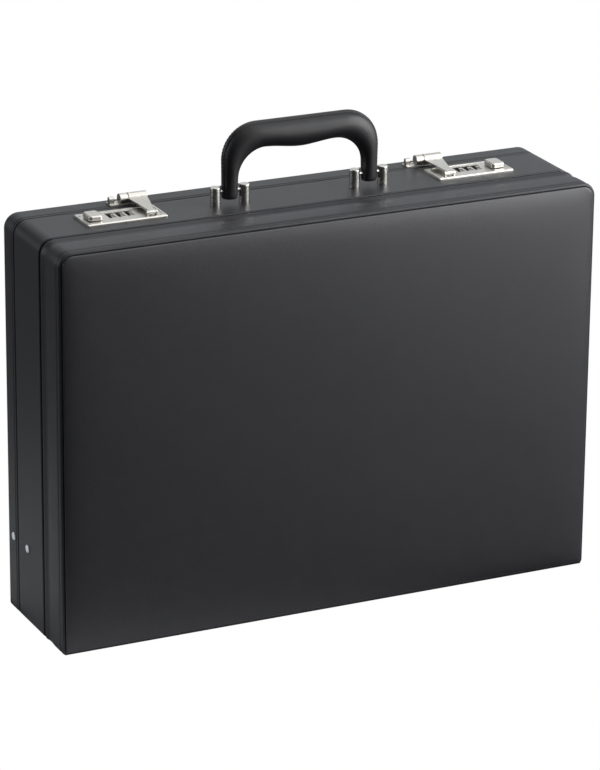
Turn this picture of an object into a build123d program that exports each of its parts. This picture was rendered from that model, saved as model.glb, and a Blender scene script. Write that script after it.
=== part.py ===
from build123d import *
from math import cos, pi, sin
import os

# A hard-sided attache case standing on its hinge edge, handle up.
# X runs along the width, Y from the front panel (-Y) to the lid's back (+Y), Z up.
# The origin is on the floor, under the middle of the case.
# Three nested sections share one outline: the lid at the back, the body band in the
# middle and, in front, a tray that slides out of the band to make the case deeper.

# ---------------------------------------------------------------- driving dimensions
CASE_W = 450.0
CASE_H = 320.0
CASE_D = 114.0
LID_D = 22.0
TRAY_STRIP_D = 40.0
TOP_R = 11.5
BOTTOM_R = 3.0

SKIN = 1.0
WALL = 4.0
LINING = 0.8
SLEEVE = 2.2
SLIDE_GAP = 0.3
SEAM_GAP = 0.5

LID_ANGLE_CLEARANCE = 2.5
KNUCKLE_R = 1.9
HINGE_PIN_R = 0.8
HINGE_LEN = 410.0
KNUCKLES = 21
HINGE_SCREWS = 8

LOCK_X = 147.5
LOCK_Y = 11.0
LOCK_L = 66.0
LOCK_W = 29.0
LOCK_T = 1.8
LOCK_FIELD = 1.5
BORDER = 2.4
DIAL_PITCH = 7.5
DIAL_R = 7.0
HASP_U = -21.5

HANDLE_Y = 8.0
HANDLE_X = 58.8
HANDLE_TOP = 63.0
HANDLE_PIN_H = 11.0
POST_GAP = 24.2
POST_R = 4.1
POST_H = 15.0

STAY_Z = 62.0
STAY_BODY_Y = 15.0
STAY_LID_Y = 43.5

# ---------------------------------------------------------------- worked-out places
Y_FRONT = -CASE_D / 2
Y_BACK = CASE_D / 2
SEAM_Y = Y_BACK - LID_D
BODY_BACK = SEAM_Y - SEAM_GAP / 2
LID_FRONT = SEAM_Y + SEAM_GAP / 2
TRAY_SEAM_Y = Y_FRONT + TRAY_STRIP_D
TRAY_BACK = TRAY_SEAM_Y - SEAM_GAP
PANEL_T = 2.5
TRAY_FRONT = Y_FRONT + PANEL_T
FLANGE_T = 0.5
BOARD_T = 3.0

FRAME_IN = SKIN + WALL
SLEEVE_OUT = FRAME_IN + SLIDE_GAP
SLEEVE_IN = SLEEVE_OUT + SLEEVE
TRAY_LINING_IN = SLEEVE_IN + LINING
SLEEVE_BACK = 20.0
TONGUE_FRONT = 22.0
TONGUE_BACK = SEAM_Y + 5.5
TONGUE_OUT = FRAME_IN + 0.5
TONGUE_IN = TONGUE_OUT + 1.4
LID_LINING_FRONT = TONGUE_BACK + 0.5

HINGE_Z = 2.0
LEAF_T = 0.8
LEAF_EDGE = 2.4
LEAF_W = 15.0
CHANNEL_HALF = 2.7
CHANNEL_TOP = 4.4

TOP_Z = CASE_H
DIAL_Y = LOCK_Y + 2.5
DIAL_H = -3.9
DIAL_T = 3.0
DIAL_SHIFT = 0.8
DIAL_HUB_L = DIAL_PITCH - 0.2
DIAL_SHAFT_R = 1.5
WINDOW_X = 5.6
WINDOW_Y = 12.4
HOUSING_L = 56.0
HOUSING_W = 22.5
HOUSING_Y = 13.25
HOUSING_D = 13.0
SHEET = 0.8
BRACKET_U = 12.6
BUTTON_TRAVEL = 4.0
BUTTON_U = 22.75
STEM_U = 21.3
STEM_X = 3.0
STEM_Y = 6.0
HASP_PIN_R = 0.7
HASP_PIN_Y = 2.0
HASP_PIN_H = 3.7
HASP_KNUCKLE_R = 1.7
HASP_KNUCKLE_W = 5.6
LUG_T = 1.4
ROLL_Y = 39.5
ROLL_H = 4.9
ROLL_R = 4.0
ARM_H = 5.6
ARM_T = 1.4
ARM_LEFT = 5.0
ARM_RIGHT = 10.6
RIVET_U = 29.0
RIVET_V = 10.5
RIVET_R = 0.9
RIVET_DEPTH = 4.0
CATCH_T = 0.8

OUTER_BEND_R = 28.0
INNER_BEND_R = 23.0
LEG_GAP = 4.6
LEG_HALF = 6.4
LEG_ACROSS = 5.7
GRIP_T = 21.0
GRIP_BOW = 2.4
GRIP_ACROSS = 10.2
GRIP_STRETCHES = 4
GRIP_STATIONS = 6
LEG_SHARE = 0.12
BEND_SHARE = 0.21
CORE_Z = 52.0
CORE_BEND_R = 25.5
CORE_T = 2.0
CORE_W = 8.0
CORE_EYE_R = 3.2
EYE_L = 9.0
PIN_R = 1.5
RUN = 0.08
STUD_R = 2.0
STUD_DEPTH = 8.0

LINK_T = 1.5
LINK_W = 9.0
LINK_GAP = 0.3
LOWER_X = CASE_W / 2 - TRAY_LINING_IN - 0.5
UPPER_X = LOWER_X - LINK_T - LINK_GAP
RIVET_SHANK_R = 2.0
STAY_HEAD_R = 3.2
STAY_HEAD_T = 1.0
KNEE_R = 1.5
KNEE_Y = STAY_BODY_Y + STAY_LID_Y - SEAM_Y
KNEE_Z = 2 * STAY_Z - HINGE_Z

KNOB_Y = 8.0
KNOB_Z = 160.0
KNOB_R = 6.0
KNOB_STEM_R = 2.0
KNOB_TRAVEL = 3.0
KNOB_TIP = 1.2
TRAY_TRAVEL = 20.0

SIDES = (("left", -1), ("right", 1))
LOW = Align.MIN
MID = Align.CENTER
HIGH = Align.MAX

os.makedirs("parts", exist_ok=True)


# ---------------------------------------------------------------- helpers
def save(part, label):
    """Labels a finished piece and writes it as its own STEP file."""
    part.label = label
    export_step(part, f"parts/{label}.step")


def outline(inset, y):
    """The case's outline on the plane at depth y, inset from its outer surface."""
    with BuildSketch(Plane.XZ.offset(-y)) as sketch:
        with Locations((0, inset)):
            Rectangle(CASE_W - 2 * inset, CASE_H - 2 * inset, align=(MID, LOW))
        fillet(sketch.vertices().group_by(Axis.Y)[-1], TOP_R - inset)
        if BOTTOM_R > inset:
            fillet(sketch.vertices().group_by(Axis.Y)[0], BOTTOM_R - inset)
    return sketch.sketch


def slab(y_front, y_back, inset, mode=Mode.ADD):
    """Fills the case's outline from y_front to y_back in the open part."""
    extrude(outline(inset, y_back), amount=y_back - y_front, mode=mode)


def ring(y_front, y_back, outer, inner):
    """Adds a frame-shaped ring between two insets to the open part."""
    shape = outline(outer, y_back) - outline(inner, y_back)
    extrude(shape, amount=y_back - y_front)


def cut_box(x, y, z):
    """Cuts the box between the three (low, high) pairs from the open part."""
    with Locations((x[0], y[0], z[0])):
        Box(x[1] - x[0], y[1] - y[0], z[1] - z[0], align=(LOW, LOW, LOW), mode=Mode.SUBTRACT)


def add_box(x, y, z):
    """Adds the box between the three (low, high) pairs to the open part."""
    with Locations((x[0], y[0], z[0])):
        Box(x[1] - x[0], y[1] - y[0], z[1] - z[0], align=(LOW, LOW, LOW))


def round_z(x, y, radius, z_low, z_high, mode=Mode.ADD):
    """A vertical cylinder in the open part."""
    with Locations((x, y, z_low)):
        Cylinder(radius, z_high - z_low, align=(MID, MID, LOW), mode=mode)


def round_x(x_low, x_high, y, z, radius, mode=Mode.ADD):
    """A cylinder along X in the open part."""
    with Locations(Location(((x_low + x_high) / 2, y, z), (0, 90, 0))):
        Cylinder(radius, x_high - x_low, mode=mode)


def span(side, u_low, u_high):
    """The (low, high) X pair for distances out from the middle, on one side."""
    return (u_low, u_high) if side > 0 else (-u_high, -u_low)


def hinge_screw_places(y):
    """Where the hinge screws go along one leaf."""
    step = HINGE_LEN / HINGE_SCREWS
    return [(-HINGE_LEN / 2 + step * (i + 0.5), y) for i in range(HINGE_SCREWS)]


def lock_rivet_places(side):
    """The four corner rivets of one lock plate."""
    return [
        (side * LOCK_X + u, LOCK_Y + v)
        for u in (-RIVET_U, RIVET_U)
        for v in (-RIVET_V, RIVET_V)
    ]


def catch_screw_places(side):
    """The two screws of one catch plate."""
    centre = side * (LOCK_X + HASP_U)
    return [(centre - 10.0, 45.4), (centre + 6.5, 45.4)]


def post_places():
    """The four handle posts, two at each end of the handle."""
    return [(s * HANDLE_X + t * POST_GAP / 2, HANDLE_Y) for s in (-1, 1) for t in (-1, 1)]


def cut_top_hardware():
    """Cuts the lock openings, rivet holes and handle stud holes through a top wall."""
    for _, side in SIDES:
        cut_box(
            (side * LOCK_X - HOUSING_L / 2, side * LOCK_X + HOUSING_L / 2),
            (HOUSING_Y - HOUSING_W / 2, HOUSING_Y + HOUSING_W / 2),
            (TOP_Z - FRAME_IN - 1, TOP_Z + 1),
        )
        for x, y in lock_rivet_places(side):
            round_z(x, y, RIVET_R, TOP_Z - RIVET_DEPTH, TOP_Z + 1, Mode.SUBTRACT)
    for x, y in post_places():
        round_z(x, y, STUD_R, TOP_Z - FRAME_IN - 1, TOP_Z + 1, Mode.SUBTRACT)


def cut_stay_holes(y):
    """Cuts the stay rivet's hole through both side walls at depth y."""
    round_x(-CASE_W, CASE_W, y, STAY_Z, RIVET_SHANK_R, Mode.SUBTRACT)


HINGE_BODY_Y = SEAM_Y - LEAF_EDGE - LEAF_W / 2
HINGE_LID_Y = SEAM_Y + LEAF_EDGE + LEAF_W / 2
LEAF_TOP = SKIN + LEAF_T
SCREW_TOP = LEAF_TOP + 2.7
SCREW_R = 1.4


def cut_leaf_seat(y_low, y_high, screw_y):
    """Rebates the bottom wall for a hinge leaf and its screws."""
    half = HINGE_LEN / 2
    cut_box((-half, half), (y_low, y_high), (SKIN, LEAF_TOP))
    for x, y in hinge_screw_places(screw_y):
        round_z(x, y, SCREW_R, SKIN, SCREW_TOP, Mode.SUBTRACT)


def cut_hinge_channel(y_low, y_high):
    """Clears the bottom wall around the hinge knuckles."""
    half = HINGE_LEN / 2 + 1
    cut_box((-half, half), (y_low, y_high), (-1, CHANNEL_TOP))


# ---------------------------------------------------------------- body band
with BuildPart() as body_frame:
    ring(TRAY_SEAM_Y, BODY_BACK, SKIN, FRAME_IN)
    cut_top_hardware()
    cut_stay_holes(STAY_BODY_Y)
    cut_hinge_channel(SEAM_Y - CHANNEL_HALF, SEAM_Y)
    cut_leaf_seat(SEAM_Y - LEAF_EDGE - LEAF_W, SEAM_Y, HINGE_BODY_Y)
    for _, side in SIDES:
        cut_box(
            span(side, CASE_W / 2 - FRAME_IN - 1, CASE_W / 2 - FRAME_IN + KNOB_TIP + 0.3),
            (KNOB_Y - TRAY_TRAVEL - KNOB_STEM_R - 0.5, KNOB_Y + KNOB_STEM_R + 0.5),
            (KNOB_Z - KNOB_STEM_R - 0.3, KNOB_Z + KNOB_STEM_R + 0.3),
        )
save(body_frame.part, "body_frame")

with BuildPart() as body_leather:
    ring(TRAY_SEAM_Y, BODY_BACK, 0, SKIN)
    cut_top_hardware()
    cut_stay_holes(STAY_BODY_Y)
    cut_hinge_channel(SEAM_Y - CHANNEL_HALF, SEAM_Y)
save(body_leather.part, "body_leather")

with BuildPart() as body_tongue:
    ring(TONGUE_FRONT, TONGUE_BACK, TONGUE_OUT, TONGUE_IN)
    ring(TONGUE_FRONT, BODY_BACK, FRAME_IN, TONGUE_OUT)
    for _, side in SIDES:
        cut_box(
            (side * LOCK_X - HOUSING_L / 2 - 0.5, side * LOCK_X + HOUSING_L / 2 + 0.5),
            (TONGUE_FRONT - 1, HOUSING_Y + HOUSING_W / 2 + 0.5),
            (TOP_Z - TONGUE_IN - 1, TOP_Z),
        )
    cut_box((-CASE_W, CASE_W), (TONGUE_FRONT - 1, TONGUE_BACK + 1), (0, 12))
save(body_tongue.part, "body_tongue")

# ---------------------------------------------------------------- tray
with BuildPart() as tray_frame:
    ring(TRAY_FRONT + FLANGE_T, TRAY_BACK, SKIN, FRAME_IN)
save(tray_frame.part, "tray_frame")

with BuildPart() as tray_leather:
    ring(TRAY_FRONT, TRAY_BACK, 0, SKIN)
    ring(TRAY_FRONT, TRAY_FRONT + FLANGE_T, SKIN / 2, FRAME_IN)
save(tray_leather.part, "tray_leather")

with BuildPart() as tray_board:
    slab(TRAY_FRONT, TRAY_FRONT + BOARD_T, FRAME_IN)
save(tray_board.part, "tray_board")

PANEL_INSET = 2.2
with BuildPart() as front_panel:
    slab(Y_FRONT, TRAY_FRONT, PANEL_INSET)
    fillet(front_panel.faces().sort_by(Axis.Y)[0].edges(), 1.5)
save(front_panel.part, "front_panel")


def cut_sleeve_notches():
    """Opens the sleeve's back edge round the locks, the handle nuts and the stay rivets."""
    notch_front = 0.5
    top = (TOP_Z - TRAY_LINING_IN - 1, TOP_Z)
    for _, side in SIDES:
        lock = side * LOCK_X
        post = side * HANDLE_X
        cut_box((lock - 29.0, lock + 29.0), (notch_front, SLEEVE_BACK + 1), top)
        cut_box((post - 19.0, post + 19.0), (notch_front, SLEEVE_BACK + 1), top)
        cut_box(
            span(side, CASE_W / 2 - TRAY_LINING_IN - 1, CASE_W / 2),
            (STAY_BODY_Y - 3.0, SLEEVE_BACK + 1),
            (STAY_Z - 3.0, STAY_Z + 3.0),
        )
    round_x(-CASE_W, CASE_W, KNOB_Y, KNOB_Z, KNOB_STEM_R + RUN, Mode.SUBTRACT)


SLEEVE_FRONT = TRAY_FRONT + BOARD_T
with BuildPart() as tray_sleeve:
    ring(SLEEVE_FRONT, SLEEVE_BACK, SLEEVE_OUT, SLEEVE_IN)
    ring(SLEEVE_FRONT, TRAY_BACK, FRAME_IN, SLEEVE_OUT)
    cut_sleeve_notches()
save(tray_sleeve.part, "tray_sleeve")

with BuildPart() as tray_lining:
    slab(SLEEVE_FRONT, SLEEVE_BACK, SLEEVE_IN)
    slab(SLEEVE_FRONT + LINING, SLEEVE_BACK, TRAY_LINING_IN, Mode.SUBTRACT)
    cut_sleeve_notches()
save(tray_lining.part, "tray_lining")

# ---------------------------------------------------------------- lid
LID_BOARD_Y = Y_BACK - SKIN - BOARD_T


def cut_lid_heel():
    """Takes the lid's edge back below the hinge line, so that it can swing down."""
    cut_box((-CASE_W, CASE_W), (SEAM_Y - 1, SEAM_Y + LID_ANGLE_CLEARANCE), (-1, HINGE_Z))


def cut_catch_holes():
    """Cuts the catch screws' holes through the lid's top wall."""
    for _, side in SIDES:
        for x, y in catch_screw_places(side):
            round_z(x, y, RIVET_R, TOP_Z - RIVET_DEPTH, TOP_Z + 1, Mode.SUBTRACT)


with BuildPart() as lid_frame:
    ring(LID_FRONT, LID_BOARD_Y, SKIN, FRAME_IN)
    cut_lid_heel()
    cut_catch_holes()
    cut_stay_holes(STAY_LID_Y)
    cut_hinge_channel(SEAM_Y, SEAM_Y + CHANNEL_HALF)
    cut_leaf_seat(SEAM_Y, SEAM_Y + LEAF_EDGE + LEAF_W, HINGE_LID_Y)
save(lid_frame.part, "lid_frame")

with BuildPart() as lid_board:
    slab(LID_BOARD_Y, LID_BOARD_Y + BOARD_T, SKIN)
save(lid_board.part, "lid_board")

with BuildPart() as lid_leather:
    slab(LID_FRONT, Y_BACK, 0)
    fillet(lid_leather.faces().sort_by(Axis.Y)[-1].edges(), 2.0)
    slab(LID_FRONT, Y_BACK - SKIN, SKIN, Mode.SUBTRACT)
    cut_lid_heel()
    cut_catch_holes()
    cut_stay_holes(STAY_LID_Y)
    cut_hinge_channel(SEAM_Y, SEAM_Y + CHANNEL_HALF)
save(lid_leather.part, "lid_leather")

LID_LINING_IN = FRAME_IN + LINING
with BuildPart() as lid_lining:
    slab(LID_LINING_FRONT, LID_BOARD_Y, FRAME_IN)
    slab(LID_LINING_FRONT, LID_BOARD_Y - LINING, LID_LINING_IN, Mode.SUBTRACT)
    for _, side in SIDES:
        cut_box(
            span(side, CASE_W / 2 - LID_LINING_IN - 1, CASE_W / 2),
            (LID_LINING_FRONT - 1, STAY_LID_Y + 4.0),
            (STAY_Z - 4.0, STAY_Z + 4.0),
        )
save(lid_lining.part, "lid_lining")

# Organizer on the lid lining: a wide file pocket, card pockets and pen loops.
LINING_FACE = LID_BOARD_Y - LINING
with BuildPart() as file_pocket:
    with BuildSketch(Plane.XZ.offset(-LINING_FACE)):
        with Locations((-15, 30)):
            RectangleRounded(360, 170, 8, align=(MID, LOW))
    extrude(amount=4.0)
    fillet(file_pocket.faces().sort_by(Axis.Y)[0].edges(), 1.5)
save(file_pocket.part, "file_pocket")

with BuildPart() as card_pockets:
    with BuildSketch(Plane.XZ.offset(-LINING_FACE)):
        with Locations((-140, 215), (-20, 215)):
            RectangleRounded(105, 66, 4, align=(MID, LOW))
    extrude(amount=2.0)
save(card_pockets.part, "card_pockets")

PEN_LOOP_Z = (225.0, 262.0)
with BuildPart() as pen_loops:
    for z in PEN_LOOP_Z:
        for i in range(3):
            with BuildSketch(Plane.XY.offset(z)):
                with Locations((75 + 22 * i, LINING_FACE)):
                    SlotCenterToCenter(2.0, 11.0)
                    SlotCenterToCenter(2.0, 9.6, mode=Mode.SUBTRACT)
                    with Locations((0, 6)):
                        Rectangle(20, 12, mode=Mode.SUBTRACT)
            extrude(amount=14)
save(pen_loops.part, "pen_loops")

# ---------------------------------------------------------------- hinge
KNUCKLE_L = HINGE_LEN / KNUCKLES
KNUCKLE_PLAY = 0.15


def hinge_leaf(direction, first):
    """One leaf of the piano hinge: a flat strip and every other knuckle from first on."""
    half = HINGE_LEN / 2
    edge = (SEAM_Y + direction * LEAF_EDGE, SEAM_Y + direction * (LEAF_EDGE + LEAF_W))
    screw_y = SEAM_Y + direction * (LEAF_EDGE + LEAF_W / 2)
    with BuildPart() as leaf:
        add_box((-half, half), (min(edge), max(edge)), (SKIN, LEAF_TOP))
        for i in range(first, KNUCKLES, 2):
            low = -half + i * KNUCKLE_L + KNUCKLE_PLAY
            high = low + KNUCKLE_L - 2 * KNUCKLE_PLAY
            web = sorted((SEAM_Y, edge[0]))
            add_box((low, high), web, (SKIN, LEAF_TOP))
            round_x(low, high, SEAM_Y, HINGE_Z, KNUCKLE_R)
        round_x(-half - 1, half + 1, SEAM_Y, HINGE_Z, HINGE_PIN_R + 0.05, Mode.SUBTRACT)
        for x, y in hinge_screw_places(screw_y):
            round_z(x, y, SCREW_R, 0, CASE_H, Mode.SUBTRACT)
    return leaf.part


def hinge_screws(y):
    """The row of short countersunk screws that hold one leaf."""
    with BuildPart() as screws:
        for x, place_y in hinge_screw_places(y):
            round_z(x, place_y, SCREW_R, SKIN, SCREW_TOP)
    return screws.part


save(hinge_leaf(-1, 0), "hinge_leaf_body")
save(hinge_leaf(1, 1), "hinge_leaf_lid")
save(hinge_screws(HINGE_BODY_Y), "hinge_screws_body")
save(hinge_screws(HINGE_LID_Y), "hinge_screws_lid")

with BuildPart() as hinge_pin:
    round_x(-HINGE_LEN / 2, HINGE_LEN / 2, SEAM_Y, HINGE_Z, HINGE_PIN_R)
save(hinge_pin.part, "hinge_pin")

# ---------------------------------------------------------------- lid stays
# Each stay and the hinge make a parallelogram: hinge line, lid rivet, knee, body rivet.
# The lower link turns with the lid and the upper link keeps its direction.


def link(side, x_outer, start, end, start_hole, end_hole):
    """A flat link between two (y, z) places, with a hole at each end."""
    length = ((end[0] - start[0]) ** 2 + (end[1] - start[1]) ** 2) ** 0.5
    x_mid = side * (x_outer - LINK_T / 2)
    along = Vector(0, end[0] - start[0], end[1] - start[1])
    middle = (x_mid, (start[0] + end[0]) / 2, (start[1] + end[1]) / 2)
    flat = Plane(origin=middle, x_dir=along, z_dir=(1, 0, 0))
    with BuildPart() as bar:
        with BuildSketch(flat):
            SlotCenterToCenter(length, LINK_W)
            with Locations((-length / 2, 0)):
                Circle(start_hole, mode=Mode.SUBTRACT)
            with Locations((length / 2, 0)):
                Circle(end_hole, mode=Mode.SUBTRACT)
        extrude(amount=LINK_T / 2, both=True)
    return bar.part


BODY_PIVOT = (STAY_BODY_Y, STAY_Z)
LID_PIVOT = (STAY_LID_Y, STAY_Z)
KNEE = (KNEE_Y, KNEE_Z)
EYE_R = RIVET_SHANK_R + RUN

for name, side in SIDES:
    save(link(side, LOWER_X, BODY_PIVOT, KNEE, EYE_R, KNEE_R + RUN), f"{name}_stay_lower")
    with BuildPart() as upper:
        add(link(side, UPPER_X, KNEE, LID_PIVOT, KNEE_R, EYE_R))
        pin = span(side, UPPER_X - LINK_T, LOWER_X + 0.2)
        head = span(side, LOWER_X + 0.1, LOWER_X + 0.8)
        inner = span(side, UPPER_X - LINK_T - 0.7, UPPER_X - LINK_T)
        round_x(*pin, *KNEE, KNEE_R)
        round_x(*head, *KNEE, 2.7)
        round_x(*inner, *KNEE, 2.7)
    save(upper.part, f"{name}_stay_upper")


def stay_rivets(y, link_inner):
    """The pair of rivets through the side walls that carry one end of each stay."""
    outer = CASE_W / 2
    with BuildPart() as rivets:
        for _, side in SIDES:
            round_x(*span(side, link_inner - 0.2, outer), y, STAY_Z, RIVET_SHANK_R)
            round_x(*span(side, outer, outer + STAY_HEAD_T), y, STAY_Z, STAY_HEAD_R)
            round_x(*span(side, link_inner - 1.2, link_inner - 0.2), y, STAY_Z, STAY_HEAD_R)
        fillet(rivets.faces().sort_by(Axis.X)[0].edges(), STAY_HEAD_T * 0.7)
        fillet(rivets.faces().sort_by(Axis.X)[-1].edges(), STAY_HEAD_T * 0.7)
    return rivets.part


save(stay_rivets(STAY_BODY_Y, LOWER_X - LINK_T), "stay_rivets_body")
save(stay_rivets(STAY_LID_Y, UPPER_X - LINK_T), "stay_rivets_lid")

with BuildPart() as stay_bushes:
    for _, side in SIDES:
        pair = span(side, UPPER_X + LINK_GAP, CASE_W / 2 - FRAME_IN)
        round_x(*pair, STAY_LID_Y, STAY_Z, RIVET_SHANK_R + 0.6)
        round_x(*pair, STAY_LID_Y, STAY_Z, RIVET_SHANK_R, Mode.SUBTRACT)
save(stay_bushes.part, "stay_bushes")

# ---------------------------------------------------------------- expansion knobs
for name, side in SIDES:
    wall = CASE_W / 2
    face = wall - TRAY_LINING_IN - 0.3
    with BuildPart() as knob:
        round_x(*span(side, face - 1, wall - FRAME_IN + KNOB_TIP), KNOB_Y, KNOB_Z, KNOB_STEM_R)
        round_x(*span(side, face - 5, face), KNOB_Y, KNOB_Z, KNOB_R)
        inner_face = knob.faces().sort_by(Axis.X)[-1 if side < 0 else 0]
        fillet(inner_face.edges(), 1.2)
    save(knob.part, f"{name}_expansion_knob")

# ---------------------------------------------------------------- handle
with BuildPart() as handle_posts:
    for x, y in post_places():
        round_z(x, y, POST_R, TOP_Z, TOP_Z + POST_H)
    fillet(handle_posts.faces().group_by(Axis.Z)[-1].edges(), 0.9)
    for x, y in post_places():
        round_z(x, y, STUD_R, TOP_Z - STUD_DEPTH, TOP_Z + 1)
    for _, side in SIDES:
        pin = (side * HANDLE_X - POST_GAP / 2, side * HANDLE_X + POST_GAP / 2)
        round_x(*pin, HANDLE_Y, TOP_Z + HANDLE_PIN_H, PIN_R, Mode.SUBTRACT)
save(handle_posts.part, "handle_posts")

with BuildPart() as handle_nuts:
    with BuildSketch(Plane.XY.offset(TOP_Z - STUD_DEPTH)):
        with Locations(*post_places()):
            RegularPolygon(3.8, 6)
            Circle(STUD_R, mode=Mode.SUBTRACT)
    extrude(amount=STUD_DEPTH - FRAME_IN)
save(handle_nuts.part, "handle_nuts")

with BuildPart() as handle_pins:
    for _, side in SIDES:
        pin = (side * HANDLE_X - POST_GAP / 2, side * HANDLE_X + POST_GAP / 2)
        round_x(*pin, HANDLE_Y, TOP_Z + HANDLE_PIN_H, PIN_R)
save(handle_pins.part, "handle_pins")


def handle_edge(leg_x, top_h, bend_r, bow, place):
    """A point on the handle's outer or inner edge, at a place from 0 to 1 along it.

    Each edge runs up a leg, round a bend and over the top, and mirrors down again.
    """
    fold = min(place, 1 - place)
    if fold < LEG_SHARE:
        x = leg_x
        h = LEG_GAP + (top_h - bend_r - LEG_GAP) * fold / LEG_SHARE
    elif fold < LEG_SHARE + BEND_SHARE:
        angle = pi / 2 * (fold - LEG_SHARE) / BEND_SHARE
        x = leg_x - bend_r * (1 - cos(angle))
        h = top_h - bend_r * (1 - sin(angle))
    else:
        share = (fold - LEG_SHARE - BEND_SHARE) / (0.5 - LEG_SHARE - BEND_SHARE)
        x = (leg_x - bend_r) * (1 - share)
        h = top_h - bow * share * share * (3 - 2 * share)
    return Vector(x if place > 0.5 else -x, HANDLE_Y, TOP_Z + h)


def grip_station(place):
    """The plane across the grip at a place along it, and the section's two half sizes."""
    outer = handle_edge(HANDLE_X + LEG_HALF, HANDLE_TOP, OUTER_BEND_R, 0, place)
    inner = handle_edge(HANDLE_X - LEG_HALF, HANDLE_TOP - GRIP_T, INNER_BEND_R, GRIP_BOW, place)
    out = outer - inner
    flat = Plane(origin=(outer + inner) / 2, x_dir=(0, 1, 0), z_dir=out.cross(Vector(0, 1, 0)))
    across = LEG_ACROSS + (GRIP_ACROSS - LEG_ACROSS) * sin(pi * place)
    return flat, across, out.length / 2


with BuildPart() as handle_core:
    with BuildLine() as core_line:
        Polyline(
            (-HANDLE_X, HANDLE_Y, TOP_Z + HANDLE_PIN_H),
            (-HANDLE_X, HANDLE_Y, TOP_Z + CORE_Z),
            (HANDLE_X, HANDLE_Y, TOP_Z + CORE_Z),
            (HANDLE_X, HANDLE_Y, TOP_Z + HANDLE_PIN_H),
        )
        fillet(core_line.vertices().group_by(Axis.Z)[-1], CORE_BEND_R)
    with BuildSketch(Plane.XY.offset(TOP_Z + HANDLE_PIN_H)) as strip:
        with Locations((-HANDLE_X, HANDLE_Y)):
            Rectangle(CORE_T, CORE_W)
    sweep(strip.sketch, path=core_line.wire())
    for _, side in SIDES:
        eye = (side * HANDLE_X - EYE_L / 2, side * HANDLE_X + EYE_L / 2)
        pin_z = TOP_Z + HANDLE_PIN_H
        round_x(*eye, HANDLE_Y, pin_z, CORE_EYE_R)
        round_x(*eye, HANDLE_Y, pin_z, PIN_R + RUN, Mode.SUBTRACT)
save(handle_core.part, "handle_core")

with BuildPart() as handle_grip:
    for stretch in range(GRIP_STRETCHES):
        for i in range(GRIP_STATIONS + 1):
            place = (stretch + i / GRIP_STATIONS) / GRIP_STRETCHES
            flat, across, half = grip_station(place)
            with BuildSketch(flat):
                Ellipse(across, half)
        loft()
    fillet(handle_grip.faces().filter_by(GeomType.PLANE).edges(), 1.5)
    add(handle_core.part, mode=Mode.SUBTRACT)
    for _, side in SIDES:
        reach = (side * HANDLE_X - 2 * LEG_HALF, side * HANDLE_X + 2 * LEG_HALF)
        round_x(*reach, HANDLE_Y, TOP_Z + HANDLE_PIN_H, PIN_R + RUN, Mode.SUBTRACT)
save(handle_grip.part, "handle_grip")


# ---------------------------------------------------------------- locks
def lock_frame(side, u, y, h):
    """A place on one lock: u outwards along the plate, y in depth, h above the skin."""
    return (side * (LOCK_X + u), y, TOP_Z + h)


def lock_plate(side):
    """The nickel plate with dial windows, the button's slot and the hasp's two lugs."""
    centre = side * LOCK_X
    with BuildPart() as plate:
        with BuildSketch(Plane.XY.offset(TOP_Z)):
            with Locations((centre, LOCK_Y)):
                RectangleRounded(LOCK_L, LOCK_W, 1.5)
        extrude(amount=LOCK_T)
        chamfer(plate.faces().sort_by(Axis.Z)[-1].edges(), 0.8)
        with BuildSketch(Plane.XY.offset(TOP_Z + LOCK_T)):
            with Locations((centre, LOCK_Y)):
                RectangleRounded(LOCK_L - 2 * BORDER, LOCK_W - 2 * BORDER, 1.0)
        extrude(amount=LOCK_FIELD - LOCK_T, mode=Mode.SUBTRACT)
        for i in (-1, 0, 1):
            x = centre + i * DIAL_PITCH
            cut_box(
                (x - WINDOW_X / 2, x + WINDOW_X / 2),
                (DIAL_Y - WINDOW_Y / 2, DIAL_Y + WINDOW_Y / 2),
                (TOP_Z - 1, TOP_Z + LOCK_T + 1),
            )
        cut_box(
            span(side, LOCK_X + STEM_U - STEM_X / 2 - 0.3,
                 LOCK_X + STEM_U + STEM_X / 2 + BUTTON_TRAVEL + 0.3),
            (LOCK_Y - STEM_Y / 2 - 0.3, LOCK_Y + STEM_Y / 2 + 0.3),
            (TOP_Z - 1, TOP_Z + LOCK_T + 1),
        )
        for t in (-1, 1):
            lug = side * (LOCK_X + HASP_U) + t * (HASP_KNUCKLE_W / 2 + 0.2 + LUG_T / 2)
            low, high = lug - LUG_T / 2, lug + LUG_T / 2
            top = TOP_Z + HASP_PIN_H
            foot = (HASP_PIN_Y - HASP_KNUCKLE_R, HASP_PIN_Y + HASP_KNUCKLE_R)
            add_box((low, high), foot, (TOP_Z + LOCK_FIELD - 0.2, top))
            round_x(low, high, HASP_PIN_Y, top, HASP_KNUCKLE_R)
            round_x(low - 1, high + 1, HASP_PIN_Y, top, HASP_PIN_R, Mode.SUBTRACT)
        for x, y in lock_rivet_places(side):
            round_z(x, y, RIVET_R, TOP_Z - 1, TOP_Z + 3, Mode.SUBTRACT)
    return plate.part


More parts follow.
